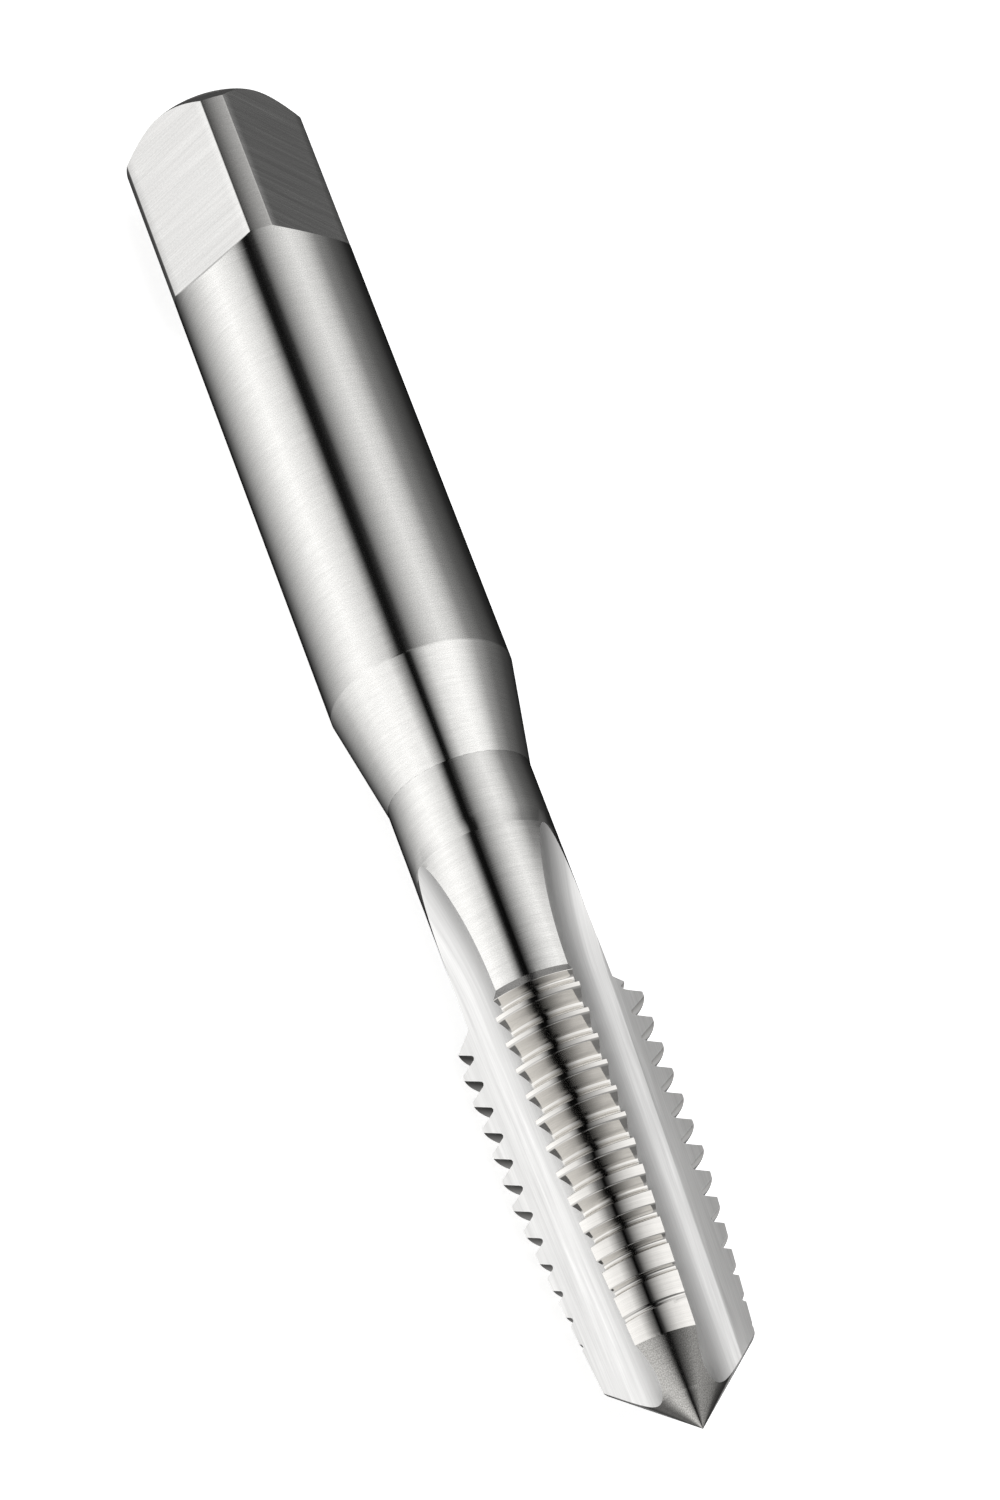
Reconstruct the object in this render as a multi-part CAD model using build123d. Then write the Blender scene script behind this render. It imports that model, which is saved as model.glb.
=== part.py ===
# Hand tap for an M10 x 1.5 right-hand thread, ground from one piece of high-speed steel.
# It is modelled upright on its point, with the tool axis along Z and the middle of one land
# towards +X, and is then laid on its side: point towards +X, drive square towards -X.
from build123d import *
from math import atan2, ceil, cos, degrees, floor, radians, sin, sqrt, tan
import os

# --- whole tool and shank (mm and degrees; heights are from the point) ---
overall_length = 80.0
shank_radius = 5.0
neck_radius = 3.92
neck_end = 37.3              # where the neck starts to widen into the shank
neck_cone_angle = 10.0       # half angle of that cone
end_chamfer = 1.1            # 45 degree chamfer of the drive end

# --- centre hole in the drive end ---
centre_hole_radius = 1.25
centre_hole_angle = 30.0     # half angle of the countersink
centre_pilot_radius = 0.5
centre_pilot_depth = 2.6

# --- drive square ---
square_across_flats = 7.9
square_length = 9.8
square_ramp_angle = 50.0     # each flat ends on a ramp, this steep to the axis
square_corner_angle = 9.5    # turn from the middle of a land to a corner of the square
square_flats = 4

# --- point and lead ---
point_half_angle = 46.5
point_radius = 4.15
lead_length = 9.8            # tapered teeth, from the point to the full thread
lead_relief_shift = 0.12     # each land's lead cone is ground this far off the axis

# --- thread ---
pitch = 1.5
thread_radius = 5.05
thread_length = 24.5         # from the point to the foot of the back shoulder
shoulder_angle = 45.0        # back end of the thread
root_radius = 4.15           # bottom of the groove, from the axis
root_fillet = 0.18
flank_angle = 30.0           # half of the 60 degree thread angle
crest_height = 0.15          # height of the first crest in the middle of the first land

# --- flutes ---
flutes = 3
web_radius = 1.7             # bottom of a flute at the point, from the axis
web_taper_angle = 2.0
flute_radius = 2.76
rake_side_angle = 20.0       # slope of each wall from the middle plane of the flute
heel_side_angle = 47.7
flute_rise_turn = 6.0        # the wheel lifts out this far round from the middle plane
flute_ramp_start = 24.9
flute_ramp_angle = 12.45
flute_ramp_radius = 26.0     # the web taper bends into the ramp over this arc

# --- how it lies ---
land_lean = 45.0             # the first land faces up, leaning this far towards -Y

# --- worked out from the above ---
flute_step = 360 / flutes
point_length = point_radius / tan(radians(point_half_angle))
lead_slope = (thread_radius - point_radius) / lead_length
lead_end = point_length + lead_length
shoulder_length = (thread_radius - neck_radius) / tan(radians(shoulder_angle))
neck_cone_length = (shank_radius - neck_radius) / tan(radians(neck_cone_angle))
past = 1.0                   # how far a cutter reaches past the steel that it cuts


def polar(radius, angle):
    """The point at a radius and an angle round the tool axis."""
    return Vector(radius * cos(radians(angle)), radius * sin(radians(angle)))


def turned_blank():
    """The round tool before its square, flutes and thread, with its seam in a flute."""
    outline = Polyline(
        (0, 0),
        (point_radius, point_length),
        (thread_radius, lead_end),
        (thread_radius, thread_length - shoulder_length),
        (neck_radius, thread_length),
        (neck_radius, neck_end),
        (shank_radius, neck_end + neck_cone_length),
        (shank_radius, overall_length - end_chamfer),
        (shank_radius - end_chamfer, overall_length),
        (0, overall_length),
        close=True,
    )
    return Rot(0, 0, flute_step / 2) * revolve(Plane.XZ * make_face(outline), Axis.Z)


def centre_hole():
    """The countersink and pilot that carry the tool between centres while it is ground."""
    countersink_depth = (centre_hole_radius - centre_pilot_radius) / tan(radians(centre_hole_angle))
    outline = Polyline(
        (0, overall_length - centre_pilot_depth),
        (centre_pilot_radius, overall_length - centre_pilot_depth),
        (centre_pilot_radius, overall_length - countersink_depth),
        (centre_hole_radius, overall_length),
        (0, overall_length),
        close=True,
    )
    return revolve(Plane.XZ * make_face(outline), Axis.Z)


def flat_cutter():
    """What one flat of the drive square takes off the shank, with the ramp at its foot."""
    flat = square_across_flats / 2
    foot = overall_length - square_length
    depth = shank_radius + past - flat
    side = Polyline(
        (flat, overall_length + past),
        (flat, foot),
        (flat + depth, foot - depth / tan(radians(square_ramp_angle))),
        (flat + depth, overall_length + past),
        close=True,
    )
    return extrude(Plane.XZ * make_face(side), amount=shank_radius + past, both=True)


def flute_walls():
    """Where the two walls of the first flute meet its round bottom, and their directions."""
    middle = flute_step / 2
    centre = polar(web_radius + flute_radius, middle)
    rake_angle = middle + rake_side_angle
    heel_angle = middle - heel_side_angle
    rake_foot = centre + polar(flute_radius, rake_angle + 90)
    heel_foot = centre + polar(flute_radius, heel_angle - 90)
    return rake_foot, rake_angle, heel_foot, heel_angle


def flute_cutter():
    """The flute's section swept along the tapered web and up the ramp where the wheel lifts out."""
    rake_foot, rake_angle, heel_foot, heel_angle = flute_walls()
    bottom = polar(web_radius, flute_step / 2)
    rake_top = rake_foot + polar(thread_radius + past, rake_angle)
    heel_top = heel_foot + polar(thread_radius + past, heel_angle)
    section = make_face(
        Line(heel_top, heel_foot)
        + ThreePointArc(heel_foot, bottom, rake_foot)
        + Line(rake_foot, rake_top)
        + Line(rake_top, heel_top)
    )
    lift = polar(1, flute_step / 2 + flute_rise_turn)
    side_view = Plane(origin=bottom, x_dir=(0, 0, 1), z_dir=Vector(0, 0, 1).cross(lift))
    taper = Vector(cos(radians(web_taper_angle)), sin(radians(web_taper_angle)))
    path_start = taper * (-past / taper.X)
    bend_start = taper * (flute_ramp_start / taper.X)
    bend = JernArc(bend_start, taper, flute_ramp_radius, flute_ramp_angle - web_taper_angle)
    ramp_length = (neck_end - flute_ramp_start) / cos(radians(flute_ramp_angle))
    ramp = Line(bend @ 1, (bend @ 1) + (bend % 1) * ramp_length)
    path = side_view * (Line(path_start, bend_start) + bend + ramp)
    start = side_view.from_local_coords(path_start) - bottom
    return sweep(Pos(start) * section, path=path)


def cutting_edge_angle():
    """How far ahead of the middle of its land a cutting edge lies, at the foot of the lead."""
    foot, angle, _, _ = flute_walls()
    wall = polar(1, angle)
    inward = foot.dot(wall)
    edge = foot + wall * (sqrt(inward**2 - foot.length**2 + point_radius**2) - inward)
    return flute_step - degrees(atan2(edge.Y, edge.X))


def relief_cutter():
    """What backs off the lead of the first land, from its cutting edge to its heel.

    The lead's cone is shifted towards the side that the edge faces, and made smaller so
    that it still meets the edge. All that is outside it goes, in this land's sector.
    """
    shift = polar(lead_relief_shift, -90)
    drop = lead_relief_shift * sin(radians(cutting_edge_angle()))
    low = point_length - past
    high = lead_end + lead_relief_shift / lead_slope
    cone = Cone(
        bottom_radius=point_radius - past * lead_slope - drop,
        top_radius=point_radius + (high - point_length) * lead_slope - drop,
        height=high - low,
        align=(Align.CENTER, Align.CENTER, Align.MIN),
    )
    sector = Cylinder(
        radius=thread_radius + past,
        height=high - low,
        arc_size=flute_step,
        align=(Align.NONE, Align.NONE, Align.NONE),
    )
    return Pos(0, 0, low) * (Rot(0, 0, -flute_step / 2) * sector - Pos(shift) * cone)


def land_groove():
    """One turn's share of the thread groove: the V that crosses the first land at height 0.

    Its section has straight flanks and a round root, and follows the right-hand helix
    from the middle of one flute to the middle of the next.
    """
    root_centre = root_radius + root_fillet
    vee_tip = root_centre - root_fillet / sin(radians(flank_angle))
    root_edge_x = root_centre - root_fillet * sin(radians(flank_angle))
    root_edge_z = root_fillet * cos(radians(flank_angle))
    mouth_x = thread_radius + past
    mouth_z = (mouth_x - vee_tip) * tan(radians(flank_angle))
    section = Plane.XZ * make_face(
        Line((root_edge_x, -root_edge_z), (mouth_x, -mouth_z))
        + Line((mouth_x, -mouth_z), (mouth_x, mouth_z))
        + Line((mouth_x, mouth_z), (root_edge_x, root_edge_z))
        + ThreePointArc((root_edge_x, root_edge_z), (root_radius, 0), (root_edge_x, -root_edge_z))
    )
    rise = pitch * flute_step / 360
    helix = Helix(pitch=pitch, height=rise, radius=root_centre)
    groove = sweep(section, path=helix, is_frenet=True)
    return Pos(0, 0, -rise / 2) * Rot(0, 0, -flute_step / 2) * groove


def grooves_of_land(number):
    """The thread grooves of one land, a pitch apart, from the point to the back shoulder."""
    groove = land_groove()
    first_height = crest_height + pitch / 2 + pitch * number / flutes
    low = ceil((point_length - pitch / 4 - first_height) / pitch)
    high = floor((thread_length + pitch / 4 - first_height) / pitch)
    turned = Rot(0, 0, number * flute_step)
    return [Pos(0, 0, first_height + pitch * turn) * turned * groove for turn in range(low, high + 1)]


tap = turned_blank() - centre_hole()
for flat in range(square_flats):
    tap -= Rot(0, 0, square_corner_angle + (flat + 0.5) * 360 / square_flats) * flat_cutter()
for land in range(flutes):
    tap -= Rot(0, 0, land * flute_step) * relief_cutter()
for flute in range(flutes):
    tap -= Rot(0, 0, flute * flute_step) * flute_cutter()
for land in range(flutes):
    tap -= grooves_of_land(land)

# On its side, with the point towards +X; the land that faces down touches Z = 0.
lying = Plane(
    origin=(overall_length / 2, 0, thread_radius),
    x_dir=(0, -sin(radians(land_lean)), cos(radians(land_lean))),
    z_dir=(-1, 0, 0),
)
os.makedirs("parts", exist_ok=True)
export_step(lying.location * tap, "parts/tap.step")
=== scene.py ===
import bmesh
import bpy
import numpy as np
from mathutils import Matrix, Vector


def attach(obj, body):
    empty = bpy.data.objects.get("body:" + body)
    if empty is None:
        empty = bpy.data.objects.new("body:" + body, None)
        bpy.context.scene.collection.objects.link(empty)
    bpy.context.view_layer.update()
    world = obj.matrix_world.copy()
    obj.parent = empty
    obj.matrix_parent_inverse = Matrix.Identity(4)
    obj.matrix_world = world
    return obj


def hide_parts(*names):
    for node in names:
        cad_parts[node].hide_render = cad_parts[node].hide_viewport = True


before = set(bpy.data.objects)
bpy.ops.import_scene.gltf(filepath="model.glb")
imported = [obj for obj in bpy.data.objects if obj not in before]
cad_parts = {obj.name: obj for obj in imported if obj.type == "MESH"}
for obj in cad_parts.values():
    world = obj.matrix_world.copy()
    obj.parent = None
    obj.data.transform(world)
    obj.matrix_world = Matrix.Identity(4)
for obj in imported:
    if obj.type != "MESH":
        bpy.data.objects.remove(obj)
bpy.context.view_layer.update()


# ---------------------------------------------------------------------------------------
# Cutting end: three lands with a V thread, backed off on the lead, and three flutes between
# them that run out on the neck. It is ground from the hard bar: first the flutes, then the
# thread, and last the lead and the point.
# ---------------------------------------------------------------------------------------
overall_length = 80.0  # all sizes in mm and degrees, heights from the point
land_lean = 45.0  # the first land faces up, leaning this far towards -Y
thread_radius = 5.05
point_radius = 4.15
point_half_angle = 46.5
point_length = point_radius / np.tan(np.radians(point_half_angle))
lead_length = 9.8
lead_end = point_length + lead_length
lead_relief_shift = 0.12  # each land's lead cone is ground this far off the axis
cutting_edge_turn = 27.4  # from the middle of a land to its cutting edge, at the foot of the lead
thread_length = 24.5
neck_radius = 3.92
neck_end = 37.3
shoulder_start = thread_length - (thread_radius - neck_radius)  # the back shoulder is at 45
pitch = 1.5
root_radius = 4.15
root_fillet = 0.18
flank = np.radians(30.0)
crest_height = 0.15  # of the first crest, in the middle of the first land
flutes = 3
flute_step = 360 / flutes
web_radius = 1.7
web_taper = np.radians(2.0)
flute_radius = 2.76
rake_side = np.radians(20.0)
heel_side = np.radians(47.7)
rise_turn = np.radians(6.0)  # the wheel lifts out this far round from the flute's middle
ramp_start = 24.9
ramp_turn = np.radians(12.45) - web_taper
ramp_radius = 26.0
edge_break = 0.012  # the grinding burr is brushed off every edge
halvings = 44  # steps that bring a bracket below a millionth of a millimetre
past_rim = 12.0  # a reach beyond every rim of a flute


def laid(height, across, along_face):
    """Points of the tap on the bench, in metres, from three arrays in mm: the height from the
    point, and two distances square to the axis, the first towards the first land's middle.
    The tap's axis lies along -X and the pair is turned by the lean of the first land."""
    lean = np.radians(land_lean)
    height, across, along_face = np.broadcast_arrays(height, across, along_face)
    return 0.001 * np.stack(
        [
            overall_length / 2 - height,
            along_face * np.cos(lean) - across * np.sin(lean),
            thread_radius + across * np.cos(lean) + along_face * np.sin(lean),
        ],
        axis=-1,
    )


def round_at(height, radius, angle):
    """Points on the bench from heights, radii and angles in degrees round the axis: the radius
    times the angle's cosine lies across, and times its sine along the face."""
    turn = np.radians(angle)
    return laid(height, radius * np.cos(turn), radius * np.sin(turn))


def flute_at(height, reach):
    """Radius and angle of the first flute's surface, from a height and a reach along its section.

    The section is an arc about a centre on the flute's middle plane, with a straight wall
    tangent to each end. Reach is measured along it from the bottom of the arc, positive
    towards the rake face. The whole section is lifted away from the axis: along a slope
    (the web's taper), round an arc, then along the steeper ramp where the wheel leaves."""
    middle = np.radians(flute_step / 2)
    to_rake = flute_radius * (np.pi / 2 - rake_side)
    to_heel = -flute_radius * (np.pi / 2 - heel_side)
    on_arc = np.clip(reach, to_heel, to_rake)
    past_arc = reach - on_arc
    wall = np.where(past_arc > 0, middle + rake_side, middle - heel_side)
    turn = middle + np.pi - on_arc / flute_radius
    centre = web_radius + flute_radius
    across = centre * np.cos(middle) + flute_radius * np.cos(turn) + abs(past_arc) * np.cos(wall)
    along = centre * np.sin(middle) + flute_radius * np.sin(turn) + abs(past_arc) * np.sin(wall)
    # from the bottom of the arc, split into the part along the lift and the part beside it
    across = across - web_radius * np.cos(middle)
    along = along - web_radius * np.sin(middle)
    lift_way = middle + rise_turn
    up = across * np.cos(lift_way) + along * np.sin(lift_way)
    beside = -across * np.sin(lift_way) + along * np.cos(lift_way)
    # the bend's centre is above the path, so a point further up turns on a smaller radius
    bend_height = ramp_start - ramp_radius * np.sin(web_taper)
    bend_lift = ramp_start * np.tan(web_taper) + ramp_radius * np.cos(web_taper)
    near, far = ramp_radius * np.sin(web_taper), ramp_radius * np.cos(web_taper) - up
    swing = np.arcsin(np.clip((height - bend_height) / np.hypot(near, far), -1, 1))
    swing = np.clip(swing - np.arctan2(near, far), 0, ramp_turn)
    height_there = bend_height + near * np.cos(swing) + far * np.sin(swing)
    lift_there = bend_lift + near * np.sin(swing) - far * np.cos(swing)
    up = lift_there + (height - height_there) * np.tan(web_taper + swing)
    across = web_radius * np.cos(middle) + up * np.cos(lift_way) - beside * np.sin(lift_way)
    along = web_radius * np.sin(middle) + up * np.sin(lift_way) + beside * np.cos(lift_way)
    return np.hypot(across, along), np.degrees(np.arctan2(along, across))


def deepest_reach(height):
    """The reach at which the flute comes nearest to the axis, by narrowing a bracket by thirds."""
    # the bottom of the flute, on the level or on the ramp, is always between these reaches
    low, high = np.full_like(height, -2.0), np.full_like(height, 3.3)
    for _ in range(halvings):
        third = (high - low) / 3
        left_nearer = flute_at(height, low + third)[0] < flute_at(height, high - third)[0]
        high = np.where(left_nearer, high - third, high)
        low = np.where(left_nearer, low, low + third)
    return (low + high) / 2


def rim_reach(height, radius, side):
    """The reach at which the flute's surface comes out to a radius, on the rake side (1) or the
    heel side (-1), by halving a bracket. Where the flute is all outside it, its deepest reach."""
    near = deepest_reach(height)
    bottom = near.copy()
    far = near + side * past_rim
    for _ in range(halvings):
        half = (near + far) / 2
        inside = flute_at(height, half)[0] < radius
        near, far = np.where(inside, half, near), np.where(inside, far, half)
    return np.where(flute_at(height, bottom)[0] < radius, near, bottom)


def blank_radius(height, from_land):
    """Radius before the thread is ground: point cone, lead, body, back shoulder and neck, and on
    the lead no more than its off-centre cone, shifted towards the side that the edge faces."""
    turned = np.interp(
        height,
        [0, point_length, lead_end, shoulder_start, thread_length, neck_end],
        [0, point_radius, thread_radius, thread_radius, neck_radius, neck_radius],
    )
    slope = (thread_radius - point_radius) / lead_length
    drop = lead_relief_shift * np.sin(np.radians(cutting_edge_turn))
    cone = point_radius + (height - point_length) * slope - drop
    turn = np.radians(from_land)
    backed_off = np.sqrt(cone**2 - (lead_relief_shift * np.cos(turn)) ** 2)
    return np.minimum(turned, backed_off - lead_relief_shift * np.sin(turn))


brow_depth = 0.5  # the edge between point and lead dips less than this below point_length


def point_brow(from_land):
    """Height of the edge between the point's cone and the backed-off lead, at angles from the
    middle of a land, by halving a bracket."""
    high = np.full_like(from_land, point_length)
    low = high - brow_depth
    for _ in range(halvings):
        half = (low + high) / 2
        on_cone = blank_radius(half, from_land) > half * point_radius / point_length - 1e-9
        low, high = np.where(on_cone, half, low), np.where(on_cone, high, half)
    return high


def plain_at(height, from_land):
    """Height and radius of the steel beside the thread, on the point and on the neck. Heights in
    the last stretch of the point are squeezed in proportion, to end on its brow."""
    squeeze = np.clip(1 - (point_length - height) / brow_depth, 0, 1) * (height <= point_length)
    height = height - (point_length - point_brow(from_land)) * squeeze
    return height, blank_radius(height, from_land)


def groove_radius(off_centre):
    """Radius of the thread groove at a distance along the axis from its middle: a circle's arc
    in the root, then flanks that rise by the distance over the tangent of the flank's angle."""
    vee_tip = root_radius + root_fillet - root_fillet / np.sin(flank)
    off = abs(off_centre)
    in_root = off < root_fillet * np.cos(flank)
    root = root_radius + root_fillet - np.sqrt(np.clip(root_fillet**2 - off**2, 0, None))
    return np.where(in_root, root, vee_tip + off / np.tan(flank))


def groove_mouth(middle, from_land, way):
    """How far from the groove's middle its flank meets the blank, towards the shank (1) or the
    point (-1), by halving a bracket. Nothing where the blank is already below the root."""
    near, far = np.zeros_like(middle), np.full_like(middle, pitch / 2)
    for _ in range(halvings):
        half = (near + far) / 2
        height = np.clip(middle + way * half, 0, None)
        inside = groove_radius(half) < blank_radius(height, from_land)
        near, far = np.where(inside, half, near), np.where(inside, far, half)
    return near


# one turn of the thread from root to root, in rows: a flank, the crest and the other flank
flank_rows = np.linspace(0, 1, 9) ** 0.8
crest_rows = np.linspace(0, 1, 8)
up_flank, on_crest, down_flank = 0, 1, 2
part_rows = [len(flank_rows), len(crest_rows), len(flank_rows) - 1]
turn_part = np.repeat([up_flank, on_crest, down_flank], part_rows)
turn_share = np.concatenate([flank_rows, crest_rows, flank_rows[:0:-1]])
first_root = crest_height + pitch / 2
turns = np.arange(17)  # as many as reach past both ends of the thread
row_turn = np.repeat(turns, len(turn_part))
row_part = np.tile(turn_part, len(turns))
row_share = np.tile(turn_share, len(turns))
fine_rows = 0.05  # mm between a crest's rows, below which they are left as they are


def land_at(rows, angle, from_land):
    """Height and radius of a land on given rows of the thread at angles round the axis. A row
    climbs by the pitch in each turn. On a flank it keeps its share of the way from the root to
    the mouth, and on a crest its share of the way from one groove's mouth to the next."""
    part, share = row_part[rows], row_share[rows]
    root = first_root + pitch * row_turn[rows] + pitch * angle / 360
    mouth = groove_mouth(root, from_land, 1)
    next_mouth = groove_mouth(root + pitch, from_land, -1)
    brush, next_brush = np.minimum(edge_break, mouth / 2), np.minimum(edge_break, next_mouth / 2)
    crest_low, crest_high = root + mouth + brush, root + pitch - next_mouth - next_brush
    height = np.where(part == up_flank, root + share * (mouth - brush), 0)
    height = np.where(part == on_crest, crest_low + share * (crest_high - crest_low), height)
    height = np.where(part == down_flank, root + pitch - share * (next_mouth - next_brush), height)
    # the crest's row nearest to the top of the back shoulder is moved onto it
    spacing = (crest_high - crest_low) / (len(crest_rows) - 1)
    beside = (part == on_crest) & (abs(height - shoulder_start) < spacing / 2)
    height = np.where(beside & (spacing > fine_rows), shoulder_start, height)
    height = np.clip(height, point_brow(from_land + 0 * height), thread_length)
    off = (height - root + pitch / 2) % pitch - pitch / 2
    return height, np.minimum(blank_radius(height, from_land), groove_radius(off))


edge_guess = 26.0  # degrees from a land's middle to about where its edges are
crossings = 6  # times that the crossing of a land and a flute is worked out again


def land_edge(rows, land, side):
    """Height, radius, angle and reach of a land's edge on the rake side (-1) or the heel side (1)
    of the land: where its rows meet the flute beside it, found by repeating the crossing."""
    middle = land * flute_step
    from_land = np.full(len(rows), edge_guess * side)
    for _ in range(crossings):
        height, radius = land_at(rows, middle + from_land, from_land)
        reach = rim_reach(height, radius, -side)
        from_land = flute_at(height, reach)[1] - (flute_step if side < 0 else 0)
    height, radius = land_at(rows, middle + from_land, from_land)
    return height, radius, middle + from_land, rim_reach(height, radius, -side)


def plain_edge(plain_height, land, side):
    """The same on the point and on the neck, at given heights."""
    from_land = np.full_like(plain_height, edge_guess * side)
    for _ in range(crossings):
        height, radius = plain_at(plain_height, from_land)
        reach = rim_reach(height, radius, -side)
        from_land = flute_at(height, reach)[1] - (flute_step if side < 0 else 0)
    return height, radius, land * flute_step + from_land, reach


inside_root = 0.1  # mm, how far below the thread's root the fine columns of a flute end


def flute_strip(heel, rake, flute, columns):
    """Points of one flute between two edges, each given as height, radius, angle and reach. The
    columns go from the heel's edge to a line just inside the thread's root, across the bottom,
    and out to the rake face's edge, with heights and reaches shared out evenly between. Beyond
    the run-out the two edges are one line on the neck."""
    base = [
        rim_reach(edge[0], np.minimum(edge[1], root_radius - inside_root), side)
        for edge, side in ((heel, -1), (rake, 1))
    ]
    ease = np.linspace(0, 1, 5)[:, None]
    across = np.linspace(0, 1, columns)[1:-1, None]
    reach = np.concatenate(
        [
            heel[3] + (base[0] - heel[3]) * ease,
            base[0] + (base[1] - base[0]) * across,
            base[1] + (rake[3] - base[1]) * ease,
        ]
    )
    share = np.clip((reach - heel[3]) / np.maximum(rake[3] - heel[3], 1e-9), 0, 1)
    height = heel[0] + (rake[0] - heel[0]) * share
    radius, angle = flute_at(height, reach)
    run_out = (rake[3] - heel[3]) < 1e-6
    radius = np.where(run_out, np.minimum(heel[1], rake[1]), radius)
    points = round_at(height, radius, angle + flute * flute_step)
    return np.swapaxes(points, 0, 1), np.swapaxes(np.stack([height, reach], -1), 0, 1)


weld_gap = 2e-7  # metres, within which the edges of two grids are one
sharp_angle = 24  # degrees, past which an edge keeps its line


def skin(name, patches, materials):
    """One mesh object from grids of points. Each patch is its points (rows x columns x 3), the
    same grid of pattern coordinates in mm, and a material's number, or one for each face. Four
    neighbours make a face, grids are joined where they meet, and faces point outwards."""
    points, coords, faces, finishes = [], [], [], []
    start = 0
    for grid, pattern, finish in patches:
        rows, columns = grid.shape[:2]
        index = start + np.arange(rows * columns).reshape(rows, columns)
        quads = np.stack([index[:-1, :-1], index[1:, :-1], index[1:, 1:], index[:-1, 1:]], -1)
        points.append(grid.reshape(-1, 3))
        coords.append(pattern.reshape(-1, 2))
        faces.append(quads.reshape(-1, 4))
        finishes.append(np.broadcast_to(finish, quads.shape[:2]).ravel())
        start += rows * columns
    points, coords = np.concatenate(points), np.concatenate(coords)
    faces, finishes = np.concatenate(faces), np.concatenate(finishes)
    mesh = bpy.data.meshes.new(name)
    mesh.from_pydata(points.tolist(), [], faces.tolist())
    mesh.polygons.foreach_set("material_index", finishes.astype(np.int32))
    layer = mesh.uv_layers.new(name="grain")
    layer.data.foreach_set("uv", coords[faces.ravel()].astype(np.float32).ravel())
    shape = bmesh.new()
    shape.from_mesh(mesh)
    bmesh.ops.remove_doubles(shape, verts=shape.verts, dist=weld_gap)
    bmesh.ops.dissolve_degenerate(shape, edges=shape.edges, dist=weld_gap / 2)
    bmesh.ops.recalc_face_normals(shape, faces=shape.faces)
    shape.to_mesh(mesh)
    shape.free()
    mesh.polygons.foreach_set("use_smooth", np.ones(len(mesh.polygons), dtype=bool))
    mesh.set_sharp_from_angle(angle=np.radians(sharp_angle))
    for material in materials:
        mesh.materials.append(material)
    piece = bpy.data.objects.new(name, mesh)
    bpy.context.scene.collection.objects.link(piece)
    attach(piece, "root")
    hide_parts("tap")
    return piece


noise_low, noise_high = 0.3, 0.7  # almost all of the noise lies between these
dark_line, bright_line = -0.10, 0.08  # what a line of full streak does to the colour
broad_share = 0.45  # of the broad lines in the mix, the rest is fine ones
broader, longer = 5, 3  # how many times the broad lines are as wide and as long
speck_size = 1.5  # of a line's width
line_sheen = 0.85  # how far the lines stretch a highlight, a quarter turn from their own way


def ground_steel(
    name,
    colour,
    roughness,
    line_width,
    line_length,
    depth,
    grit=0.0,
    streak=1.0,
    spread=(1.2, 0.8),
):
    """Bright steel with fine parallel grinding lines, widths and lengths in mm and depth in
    metres. They are noise stretched along the pattern's first coordinate, in two sizes that are
    added up, and change colour, gloss and height. Grit is how far round specks darken it. Streak
    is how strongly the lines show in colour, and spread what multiplies the roughness on the
    dark lines and on the bright ones."""
    steel = bpy.data.materials.new(name)
    steel.use_nodes = True
    nodes, links = steel.node_tree.nodes, steel.node_tree.links
    shader = nodes["Principled BSDF"]
    shader.inputs["Metallic"].default_value = 1.0
    shader.inputs["Anisotropic"].default_value = line_sheen
    shader.inputs["Anisotropic Rotation"].default_value = 0.25
    grain = nodes.new("ShaderNodeUVMap")
    grain.uv_map = "grain"
    tangent = nodes.new("ShaderNodeTangent")
    tangent.direction_type = "UV_MAP"
    tangent.uv_map = "grain"
    links.new(tangent.outputs["Tangent"], shader.inputs["Tangent"])

    def lines(width, length, detail):
        """Noise on the pattern's coordinates, the first over the length, the second over the
        width."""
        stretch = nodes.new("ShaderNodeMapping")
        stretch.inputs["Scale"].default_value = (1 / length, 1 / width, 1)
        noise = nodes.new("ShaderNodeTexNoise")
        noise.inputs["Scale"].default_value = 1.0
        noise.inputs["Detail"].default_value = detail
        links.new(grain.outputs["UV"], stretch.inputs["Vector"])
        links.new(stretch.outputs["Vector"], noise.inputs["Vector"])
        return noise.outputs["Fac"]

    fine = nodes.new("ShaderNodeMath")
    fine.operation = "MULTIPLY"
    fine.inputs[1].default_value = 1 - broad_share
    links.new(lines(line_width, line_length, 3.0), fine.inputs[0])
    mix = nodes.new("ShaderNodeMath")
    mix.operation = "MULTIPLY_ADD"
    mix.inputs[1].default_value = broad_share
    links.new(lines(line_width * broader, line_length * longer, 2.0), mix.inputs[0])
    links.new(fine.outputs[0], mix.inputs[2])

    def ranged(source, low, high):
        """The noise's usual range brought in proportion to a range of its own."""
        out = nodes.new("ShaderNodeMapRange")
        out.inputs["From Min"].default_value = noise_low
        out.inputs["From Max"].default_value = noise_high
        out.inputs["To Min"].default_value = low
        out.inputs["To Max"].default_value = high
        links.new(source, out.inputs["Value"])
        return out.outputs["Result"]

    tint = nodes.new("ShaderNodeMix")
    tint.data_type = "RGBA"
    tint.inputs["A"].default_value = (*[c * (1 + dark_line * streak) for c in colour], 1)
    tint.inputs["B"].default_value = (*[c * (1 + bright_line * streak) for c in colour], 1)
    links.new(ranged(mix.outputs[0], 0.0, 1.0), tint.inputs["Factor"])
    specks = nodes.new("ShaderNodeMix")
    specks.data_type, specks.blend_type = "RGBA", "MULTIPLY"
    specks.inputs["Factor"].default_value = grit
    links.new(tint.outputs["Result"], specks.inputs["A"])
    speck_noise = lines(line_width * speck_size, line_width * speck_size, 2.0)
    links.new(ranged(speck_noise, 0.2, 1.8), specks.inputs["B"])
    links.new(specks.outputs["Result"], shader.inputs["Base Color"])
    rough = ranged(mix.outputs[0], roughness * spread[0], roughness * spread[1])
    links.new(rough, shader.inputs["Roughness"])
    bump = nodes.new("ShaderNodeBump")
    bump.inputs["Strength"].default_value = 1.0
    bump.inputs["Distance"].default_value = depth
    links.new(mix.outputs[0], bump.inputs["Height"])
    links.new(bump.outputs["Normal"], shader.inputs["Normal"])
    return steel


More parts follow.
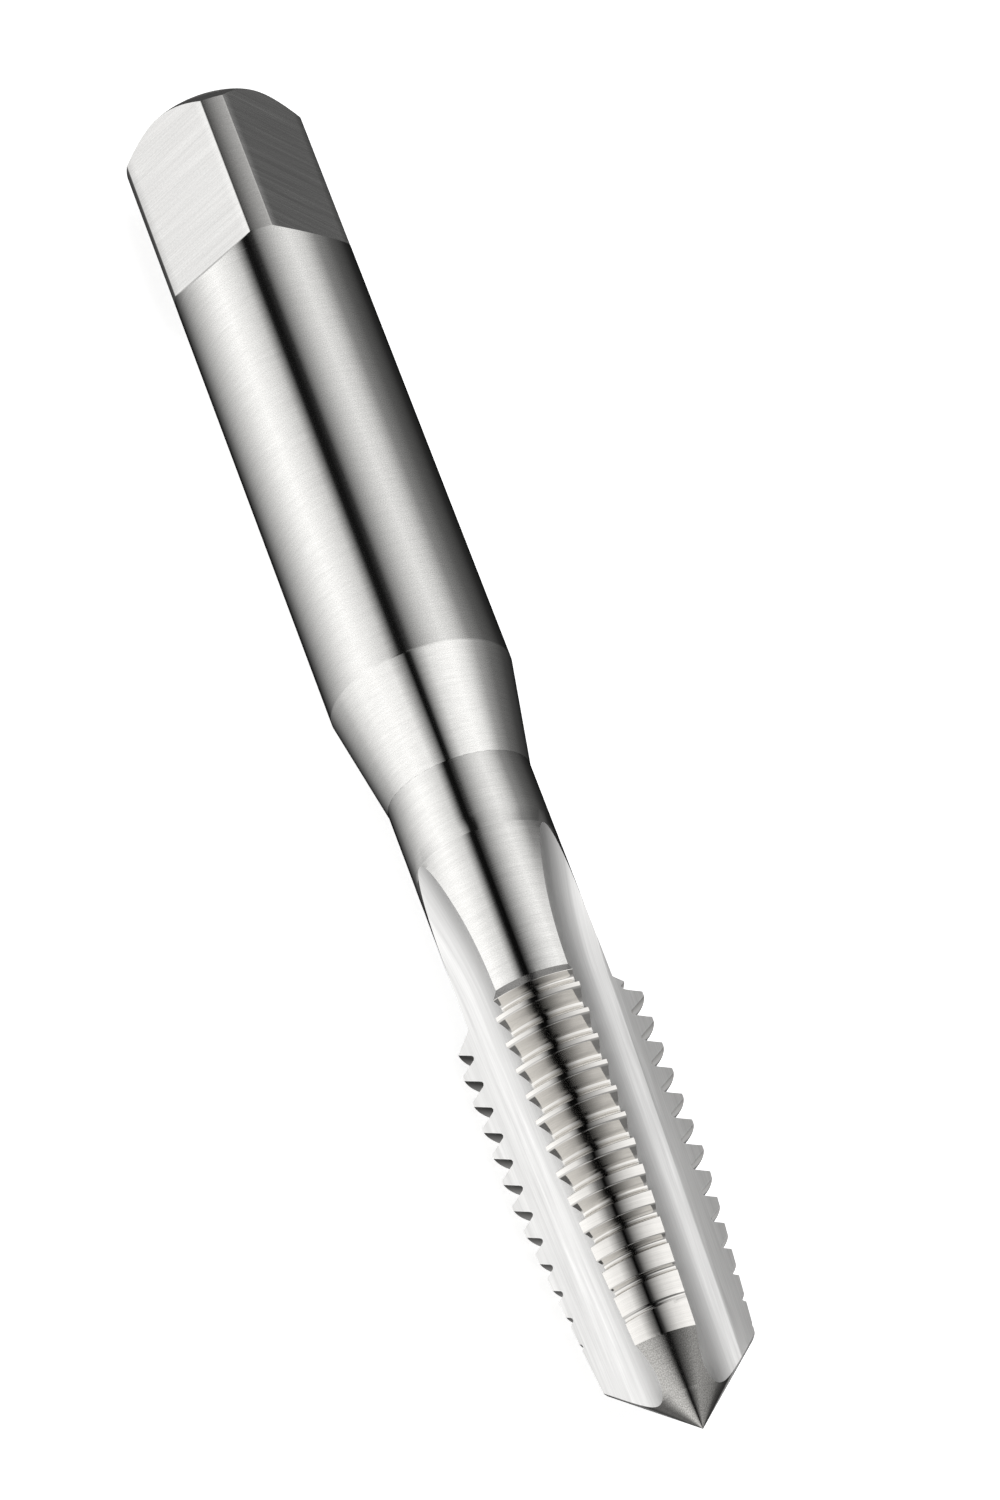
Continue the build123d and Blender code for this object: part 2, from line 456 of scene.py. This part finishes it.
thread_steel = ground_steel(
    "thread_steel",
    colour=(0.66, 0.645, 0.62),
    roughness=0.08,
    line_width=0.03,
    line_length=1.8,
    depth=1.0e-6,
)
flute_steel = ground_steel(
    "flute_steel",
    colour=(0.83, 0.825, 0.815),
    roughness=0.34,
    line_width=0.05,
    line_length=4.0,
    depth=2.0e-6,
)
neck_steel = ground_steel(
    "neck_steel",
    colour=(0.64, 0.635, 0.62),
    roughness=0.09,
    line_width=0.05,
    line_length=1.0,
    depth=1.5e-6,
    grit=0.1,
)
point_steel = ground_steel(
    "point_steel",
    colour=(0.50, 0.49, 0.47),
    roughness=0.14,
    line_width=0.04,
    line_length=0.3,
    depth=2.5e-6,
    grit=0.35,
)
shoulder_steel = ground_steel(
    "shoulder_steel",
    colour=(0.27, 0.265, 0.26),
    roughness=0.25,
    line_width=0.05,
    line_length=0.3,
    depth=3.0e-6,
    grit=0.4,
)
end_steels = [thread_steel, flute_steel, neck_steel, point_steel, shoulder_steel]
on_thread, on_flute, on_neck, on_point, on_shoulder = range(5)  # their numbers on the mesh

# The flute's colour is painted in bands of painted shade and painted highlight that meet on crisp
# lines: the heel at full brightness, a darker bottom, a bright narrow band, and a darker, rougher
# rake face. The pattern's second coordinate is the reach across them, and each pair below is a
# reach and the share of the steel's brightness there.
# where the narrow band of painted highlight begins and ends, each blended over a short reach
highlight_band_start, highlight_band_end = (1.09, 1.14), (1.97, 2.02)
past_flute = 6  # further than any reach
painted_band_shades = [(-past_flute, 1.0), (-2.2, 1.0), (-1.0, 0.84), (highlight_band_start[0], 0.84)]
painted_band_shades += [(highlight_band_start[1], 0.92), (highlight_band_end[0], 0.92), (highlight_band_end[1], 0.82)]
painted_band_shades += [(past_flute, 0.82)]
rake_dullness = 1.5  # times as rough as the rest
nodes, links = flute_steel.node_tree.nodes, flute_steel.node_tree.links
shader = nodes["Principled BSDF"]
grain = nodes.new("ShaderNodeUVMap")
grain.uv_map = "grain"
across_flute = nodes.new("ShaderNodeSeparateXYZ")
links.new(grain.outputs["UV"], across_flute.inputs[0])
reach_share = nodes.new("ShaderNodeMapRange")
reach_share.inputs["From Min"].default_value = -past_flute
reach_share.inputs["From Max"].default_value = past_flute
links.new(across_flute.outputs["Y"], reach_share.inputs["Value"])
# the colour ramp that paints the bands of shade and highlight across the flute
painted_bands = nodes.new("ShaderNodeValToRGB")
links.new(reach_share.outputs["Result"], painted_bands.inputs["Fac"])
for reach, _ in painted_band_shades[1:-1]:
    painted_bands.color_ramp.elements.new((reach + past_flute) / (2 * past_flute))
for element, (_, shade) in zip(painted_bands.color_ramp.elements, painted_band_shades):
    element.color = (shade, shade, shade, 1)
shaded = nodes.new("ShaderNodeMix")
shaded.data_type, shaded.blend_type = "RGBA", "MULTIPLY"
shaded.inputs["Factor"].default_value = 1.0
links.new(shader.inputs["Base Color"].links[0].from_socket, shaded.inputs["A"])
links.new(painted_bands.outputs["Color"], shaded.inputs["B"])
links.new(shaded.outputs["Result"], shader.inputs["Base Color"])
on_rake = nodes.new("ShaderNodeMapRange")
on_rake.inputs["From Min"].default_value = highlight_band_end[0]
on_rake.inputs["From Max"].default_value = highlight_band_end[1]
on_rake.inputs["To Min"].default_value = 1.0
on_rake.inputs["To Max"].default_value = rake_dullness
links.new(across_flute.outputs["Y"], on_rake.inputs["Value"])
duller = nodes.new("ShaderNodeMath")
duller.operation = "MULTIPLY"
links.new(shader.inputs["Roughness"].links[0].from_socket, duller.inputs[0])
links.new(on_rake.outputs["Result"], duller.inputs[1])
links.new(duller.outputs[0], shader.inputs["Roughness"])


def where_bottom_leaves(height):
    """The height near a given one at which a flute's bottom comes out of the plain steel, by
    stepping along the slope of the gap between them until the gap is nothing."""
    step, steps = 0.01, 30
    height = np.array([height])
    for _ in range(steps):
        ahead = height + step
        over = flute_at(height, deepest_reach(height))[0] - plain_at(height, 0 * height)[1]
        over_ahead = flute_at(ahead, deepest_reach(ahead))[0] - plain_at(ahead, 0 * ahead)[1]
        height = height - over * step / (over_ahead - over)
    return height[0]


all_rows = np.arange(len(row_turn))
runin_guess, runout_guess = 1.7, 33.1  # on the point's cone and on the neck
runin_height = where_bottom_leaves(runin_guess)
runout_height = where_bottom_leaves(runout_guess)
# rows lie closer together beside each edge and where a flute's rim turns fastest
to_brow_stretch = point_length - brow_depth - runin_height
point_heights = np.concatenate(
    [
        [0, 0.03],
        np.linspace(0.2, runin_height, 8),
        runin_height + to_brow_stretch * np.linspace(0, 1, 26)[1:] ** 2,
        point_length - np.linspace(brow_depth, 0, 5)[1:],
    ]
)
neck_heights = np.concatenate(
    [
        thread_length + (runout_height - thread_length) * (1 - np.linspace(1, 0, 56) ** 2),
        np.linspace(runout_height, neck_end + 0.1, 6)[1:],
    ]
)
# each land has three lengths of rows: the point's, the thread's and the neck's
lengths = [len(point_heights), len(all_rows), len(neck_heights)]
point_rows, thread_rows, neck_rows = np.split(np.arange(sum(lengths)), np.cumsum(lengths)[:2])
land_columns = np.linspace(0, 1, 15)
flute_columns = 22
hair = 1e-3  # mm, less than any real gap
patches = []
rims = {}
for land in range(flutes):
    for side in (-1, 1):
        point = plain_edge(point_heights, land, side)
        thread = land_edge(all_rows, land, side)
        neck = plain_edge(neck_heights, land, side)
        rims[land, side] = [np.concatenate(parts) for parts in zip(point, thread, neck)]
    rake_angle, heel_angle = rims[land, -1][2], rims[land, 1][2]
    angles = rake_angle[:, None] + (heel_angle - rake_angle)[:, None] * land_columns
    from_land = angles - land * flute_step
    point = plain_at(point_heights[:, None] + 0 * angles[point_rows], from_land[point_rows])
    thread = land_at(all_rows[:, None], angles[thread_rows], from_land[thread_rows])
    neck = plain_at(neck_heights[:, None] + 0 * angles[neck_rows], from_land[neck_rows])
    # the back shoulder is rougher where no groove cuts it
    height, radius = thread
    bare = (height > shoulder_start - hair) & (height < thread_length + hair)
    bare = bare & (radius > blank_radius(height, from_land[thread_rows]) - hair)
    bare_faces = bare[:-1, :-1] & bare[1:, :-1] & bare[1:, 1:] & bare[:-1, 1:]
    thread_finish = np.where(bare_faces, on_shoulder, on_thread)
    for (height, radius), rows, finish in (
        (point, point_rows, on_point),
        (thread, thread_rows, thread_finish),
        (neck, neck_rows, on_neck),
    ):
        pattern = np.stack([radius * np.radians(angles[rows]), height], -1)
        patches.append((round_at(height, radius, angles[rows]), pattern, finish))
turn_rows = len(turn_part)
for flute in range(flutes):
    heel = rims[flute, 1]
    rake = rims[(flute + 1) % flutes, -1]
    if flute == flutes - 1:
        # the helix has gone once round, so the first land is met one turn of thread further on
        onward = np.minimum(thread_rows + turn_rows, thread_rows[-1])
        onward = np.concatenate([point_rows, onward, neck_rows])
        rake = [values[onward] for values in rake]
    points, pattern = flute_strip(heel, rake, flute, flute_columns)
    patches.append((points, pattern, on_flute))
skin("cutting_end", patches, end_steels)


# ---------------------------------------------------------------------------------------
# Shank and drive square: the neck widens on a cone into the round shank. Four flats are
# ground on its end, each with a ramp at its foot, and leave narrow round corners. The end
# is chamfered and has a centre hole for grinding between centres.
# ---------------------------------------------------------------------------------------
shank_radius = 5.0
cone_half_angle = 10.0
cone_end = neck_end + (shank_radius - neck_radius) / np.tan(np.radians(cone_half_angle))
end_chamfer = 1.1  # at 45 degrees
chamfer_start = overall_length - end_chamfer
half_across_flats = 3.95
square_foot = overall_length - 9.8
ramp_slope = np.tan(np.radians(50))
ramp_top = square_foot - (shank_radius - half_across_flats) / ramp_slope
square_flats = 4
flat_step = 360 / square_flats
square_corner = 9.5  # turn from the middle of the first land to a corner of the square
line_slants = [-13, -6, -6, 1]  # the flats are ground one by one, each with its own slant
corner_brush = 0.2  # degrees of arc taken off each side of a corner
strip_grain = 0.1  # mm of pattern for each degree of a brushed strip
edge_gap = 0.02  # mm between the rows on either side of a brushed edge
centre_hole_radius, centre_pilot_radius, centre_pilot_depth = 1.25, 0.5, 2.6
countersink_depth = (centre_hole_radius - centre_pilot_radius) / np.tan(np.radians(30))

# rows lie closer together beside each edge, which keeps its shading narrow
brow_rows = 6  # rows from the chamfer's first height up to the edge of a flat with the chamfer
side_heights = np.concatenate(
    [
        [neck_end, neck_end + 0.04],
        np.linspace(neck_end + 0.1, cone_end - 0.06, 12),
        [cone_end, cone_end + 0.06],
        np.linspace(cone_end + 0.2, ramp_top - 0.1, 30),
        ramp_top + (square_foot - ramp_top) * np.linspace(0, 1, 14) ** 2,
        np.linspace(square_foot + 0.05, chamfer_start, 16),
        np.full(brow_rows, chamfer_start),
    ]
)[:, None]
to_brow = np.zeros_like(side_heights)
to_brow[-brow_rows:, 0] = np.linspace(0, 1, brow_rows + 1)[1:]
side_radii = np.interp(side_heights, [neck_end, cone_end], [neck_radius, shank_radius])
flat_distance = half_across_flats + np.clip(square_foot - side_heights, 0, None) * ramp_slope
half_chord = np.degrees(np.arccos(np.minimum(flat_distance / side_radii, 1)))
brushed = np.minimum(corner_brush, half_chord)
on_shank, on_flat, on_corner = range(3)  # the steels' numbers on the mesh
round_finish = np.where(side_heights[:-1] > square_foot - hair, on_corner, on_shank)
patches = []
rim_angles, rim_radii = [], []
for flat in range(square_flats):
    middle = square_corner + (flat + 0.5) * flat_step
    corner_turn = flat_step - 2 * half_chord - 2 * brushed
    arc = middle + half_chord + brushed + corner_turn * np.linspace(0, 1, 25)
    pattern = np.broadcast_arrays(shank_radius * np.radians(arc), side_heights + side_radii)
    patches.append((round_at(side_heights, side_radii, arc), np.stack(pattern, -1), round_finish))
    chord = (half_chord - brushed) * np.linspace(-1, 1, 17)
    reach = np.minimum(flat_distance / np.cos(np.radians(chord)), side_radii)
    height = side_heights + to_brow * (shank_radius - reach)
    # the flat's lines run across it and up by its slant
    beside, slant = reach * np.sin(np.radians(chord)), np.radians(line_slants[flat])
    pattern = [
        beside * np.cos(slant) + height * np.sin(slant),
        height * np.cos(slant) - beside * np.sin(slant),
    ]
    patches.append((round_at(height, reach, middle + chord), np.stack(pattern, -1), on_flat))
    # the brushed strips between a flat and the round corners beside it
    edges = ((slice(-1, None), arc[:, :1]), (slice(0, 1), arc[:, -1:] - flat_step))
    for column, arc_edge in edges:
        angle = np.concatenate([middle + chord[:, column], arc_edge], axis=1)
        radius = np.concatenate([reach[:, column], side_radii], axis=1)
        level = np.concatenate([height[:, column], side_heights], axis=1)
        pattern = np.stack([angle * strip_grain, level], -1)
        patches.append((round_at(level, radius, angle), pattern, round_finish))
    rim_angles += [middle + chord[-1], arc[-1]]
    rim_radii += [reach[-1], np.full(arc.shape[1], shank_radius)]

# the chamfer, the end face and the centre hole, from the rim that the square leaves
rim_angle = np.concatenate([*rim_angles, rim_angles[0][:1] + 360])
rim_radius = np.concatenate([*rim_radii, rim_radii[0][:1]])
rim_height = chamfer_start + shank_radius - rim_radius
chamfer_rise = overall_length - edge_gap - rim_height
chamfer_height = rim_height + chamfer_rise * np.linspace(0, 1, 4)[:, None]
hole_heights = overall_length - np.array(
    [0, 0, edge_gap, countersink_depth, centre_pilot_depth, centre_pilot_depth]
)
hole_radii = np.array(
    [
        shank_radius - end_chamfer - edge_gap,
        centre_hole_radius + edge_gap,
        centre_hole_radius - edge_gap / 2,
        centre_pilot_radius,
        centre_pilot_radius,
        0,
    ]
)
height = np.concatenate([chamfer_height, hole_heights[:, None] + 0 * rim_angle])
radius = np.concatenate(
    [chamfer_start + shank_radius - chamfer_height, hole_radii[:, None] + 0 * rim_angle]
)
pattern = np.stack([radius * np.radians(rim_angle), height + radius], -1)
patches.append((round_at(height, radius, rim_angle), pattern, on_corner))

shank_steel = ground_steel(
    "shank_steel",
    colour=(0.63, 0.625, 0.61),
    roughness=0.12,
    line_width=0.04,
    line_length=0.7,
    depth=1.2e-6,
    grit=0.2,
)
square_steel = ground_steel(
    "square_steel",
    colour=(0.60, 0.595, 0.585),
    roughness=0.21,
    line_width=0.08,
    line_length=5.0,
    depth=2.5e-6,
    grit=0.06,
    streak=1.4,
    spread=(0.75, 1.25),
)
corner_steel = ground_steel(
    "corner_steel",
    colour=(0.40, 0.395, 0.385),
    roughness=0.30,
    line_width=0.04,
    line_length=0.4,
    depth=2.5e-6,
    grit=0.2,
)
skin("shank_and_square", patches, [shank_steel, square_steel, corner_steel])


# ---------------------------------------------------------------------------------------
# Bench: a plain matt white sheet under the tap. It is lit to white, so that only a trace of
# the tap's shadow is left, and it is kept out of the steel's reflections.
# ---------------------------------------------------------------------------------------
half_sheet = 3.0  # metres
sheet_mesh = bpy.data.meshes.new("bench")
corners = [(half_sheet * x, half_sheet * y, 0) for x, y in ((-1, -1), (1, -1), (1, 1), (-1, 1))]
sheet_mesh.from_pydata(corners, [], [(0, 1, 2, 3)])
bench = bpy.data.objects.new("bench", sheet_mesh)
bpy.context.scene.collection.objects.link(bench)
white = bpy.data.materials.new("bench_white")
white.use_nodes = True
paper = white.node_tree.nodes["Principled BSDF"]
paper.inputs["Base Color"].default_value = (0.85, 0.85, 0.85, 1)
paper.inputs["Roughness"].default_value = 0.9
paper.inputs["Specular IOR Level"].default_value = 0.1
paper.inputs["Emission Color"].default_value = (1, 1, 1, 1)
paper.inputs["Emission Strength"].default_value = 0.75
sheet_mesh.materials.append(white)
bench.visible_glossy = False


# ---------------------------------------------------------------------------------------
# Light: a long tent of white cloth round the tap's axis, with a lamp behind the cloth on
# either side of a dark slot, and nothing lit on the far side. It is hung in six rings, from
# the one behind the drive end to the one before the point, each lit a little differently.
# ---------------------------------------------------------------------------------------
world = bpy.data.worlds.new("light_tent")
bpy.context.scene.world = world
world.use_nodes = True
nodes, links = world.node_tree.nodes, world.node_tree.links
direction = nodes.new("ShaderNodeTexCoord")


def towards(axis):
    """How far the light's direction points along an axis: their dot product."""
    along = nodes.new("ShaderNodeVectorMath")
    along.operation = "DOT_PRODUCT"
    along.inputs[1].default_value = axis
    links.new(direction.outputs["Generated"], along.inputs[0])
    return along.outputs["Value"]


def zone_share(low, high):
    """0 where the light's direction points along +X less than the low value, 1 where it does
    more than the high one, and a smooth step between."""
    ranged = nodes.new("ShaderNodeMapRange")
    ranged.interpolation_type = "SMOOTHSTEP"
    ranged.inputs["From Min"].default_value = low
    ranged.inputs["From Max"].default_value = high
    links.new(towards((1, 0, 0)), ranged.inputs["Value"])
    return ranged.outputs["Result"]


# the turn round the axis from the first land's middle, as a share from -180 to 180 degrees
lean = np.radians(land_lean)
turn_round = nodes.new("ShaderNodeMath")
turn_round.operation = "ARCTAN2"
links.new(towards((0, np.cos(lean), np.sin(lean))), turn_round.inputs[0])
links.new(towards((0, -np.sin(lean), np.cos(lean))), turn_round.inputs[1])
share = nodes.new("ShaderNodeMapRange")
share.inputs["From Min"].default_value = -np.pi
share.inputs["From Max"].default_value = np.pi
links.new(turn_round.outputs[0], share.inputs["Value"])


def cloth(stops_round):
    """A ring of the tent, from pairs of an angle round the axis, counted from the first land's
    middle, and a shade in 255ths of white as it is seen. The light is the shade's share plus
    0.055, over 1.055, to the power 2.4."""
    ring = nodes.new("ShaderNodeValToRGB")
    links.new(share.outputs["Result"], ring.inputs["Fac"])
    stops = ring.color_ramp.elements
    stops[0].position, stops[1].position = 0, 1
    for angle, _ in stops_round[1:-1]:
        stops.new((angle + 180) / 360)
    for stop, (_, shade) in zip(stops, stops_round):
        bright = ((shade / 255 + 0.055) / 1.055) ** 2.4
        stop.color = (bright, bright, bright, 1)
    return ring.outputs["Color"]


def blend_rings(first, second, factor):
    """The first ring's light times one less the factor, plus the second's times the factor."""
    mix = nodes.new("ShaderNodeMix")
    mix.data_type = "RGBA"
    links.new(factor, mix.inputs["Factor"])
    links.new(first, mix.inputs["A"])
    links.new(second, mix.inputs["B"])
    return mix.outputs["Result"]


behind_end = cloth(
    [(-180, 70), (-155, 70), (-130, 165), (-60, 235), (-25, 205), (-8, 30), (8, 30), (25, 190)]
    + [(60, 225), (130, 150), (155, 70), (180, 70)]
)
into_grooves = cloth(
    [(-180, 10), (-158, 25), (-142, 82), (-130, 122), (-96, 200), (-72, 240), (-58, 253)]
    + [(-36, 224), (-26, 192), (-18, 120), (-12, 6), (-2, 6), (7, 100), (16, 145), (25, 186)]
    + [(36, 226), (48, 238), (64, 212), (84, 135), (108, 86), (140, 38), (160, 20), (180, 10)]
)
behind_shank = cloth(
    [(-180, 10), (-158, 25), (-142, 82), (-130, 122), (-96, 200), (-72, 240), (-58, 253)]
    + [(-36, 228), (-22, 200), (-8, 20), (5, 8), (13, 122), (30, 186), (48, 218), (64, 200)]
    + [(84, 125), (108, 82), (140, 36), (160, 20), (180, 10)]
)
beside_thread = cloth(
    [(-180, 15), (-160, 45), (-144, 95), (-128, 140), (-108, 180), (-95, 215), (-72, 250)]
    + [(-48, 254), (-36, 234), (-24, 214), (-15, 128), (-11, 3), (-1, 3), (6, 112), (22, 190)]
    + [(36, 230), (50, 245), (64, 216), (84, 148), (104, 102), (132, 62), (158, 35), (180, 15)]
)
beside_cone = cloth(
    [(-180, 120), (-170, 120), (-160, 50), (-144, 108), (-108, 180), (-72, 246), (-48, 254)]
    + [(-24, 235), (-10, 150), (-3, 4), (3, 4), (10, 150), (22, 225), (36, 246), (50, 252)]
    + [(66, 230), (84, 158), (104, 104), (132, 64), (158, 40), (168, 150), (180, 150)]
)
before_point = cloth(
    [(-180, 30), (-150, 60), (-132, 60), (-118, 130), (-90, 215), (-60, 205), (-36, 175)]
    + [(-20, 115), (-7, 12), (7, 12), (24, 78), (45, 118), (62, 160), (90, 148), (118, 130)]
    + [(132, 90), (155, 60), (180, 30)]
)
# each ring gives way to the next where the light points this far along +X
tent = blend_rings(behind_end, into_grooves, zone_share(-0.74, -0.64))
tent = blend_rings(tent, behind_shank, zone_share(-0.565, -0.545))
tent = blend_rings(tent, beside_thread, zone_share(-0.435, -0.405))
tent = blend_rings(tent, beside_cone, zone_share(-0.24, -0.14))
tent = blend_rings(tent, before_point, zone_share(0.1, 0.7))
tent_strength = 1.6
links.new(tent, nodes["Background"].inputs["Color"])
nodes["Background"].inputs["Strength"].default_value = tent_strength


# ---------------------------------------------------------------------------------------
# Camera: a long lens a third of a metre from the point, looking back along the tap. It is
# placed by where the point is in its view and by how the tap's axis lies there.
# ---------------------------------------------------------------------------------------
focal_length = 6533.95 / 1500  # of the frame's longer side
tip_in_view = np.array([10.0012, 33.4431, 321.8256])  # the point: right, down and ahead, in mm
axis_turn, axis_tilt = -0.368444, 0.450642  # the tap's axis in the view, in radians
axis = np.array(
    [
        np.sin(axis_turn) * np.cos(axis_tilt),
        -np.cos(axis_turn) * np.cos(axis_tilt),
        np.sin(axis_tilt),
    ]
)
front = -tip_in_view - np.dot(-tip_in_view, axis) * axis
front /= np.linalg.norm(front)
right = np.cross(front, axis)
right *= np.sign(right[0])
in_view = np.stack([axis, front, right], axis=1)
on_bench = np.array(
    [[-1, 0, 0], [0, -np.sin(lean), np.cos(lean)], [0, np.cos(lean), np.sin(lean)]]
).T
turned = on_bench @ in_view.T
tip = np.array([overall_length / 2, 0, thread_radius])
eye = 0.001 * (tip - turned @ tip_in_view)
camera_data = bpy.data.cameras.new("camera")
camera_data.sensor_width = 36  # mm
camera_data.lens = focal_length * camera_data.sensor_width
camera_data.clip_start, camera_data.clip_end = 0.01, 20
camera = bpy.data.objects.new("camera", camera_data)
facing = Matrix((turned @ np.diag([1, -1, -1])).tolist())
camera.matrix_world = Matrix.Translation(Vector(eye.tolist())) @ facing.to_4x4()
bpy.context.scene.collection.objects.link(camera)
bpy.context.scene.camera = camera
bpy.context.scene.view_settings.view_transform = "Standard"
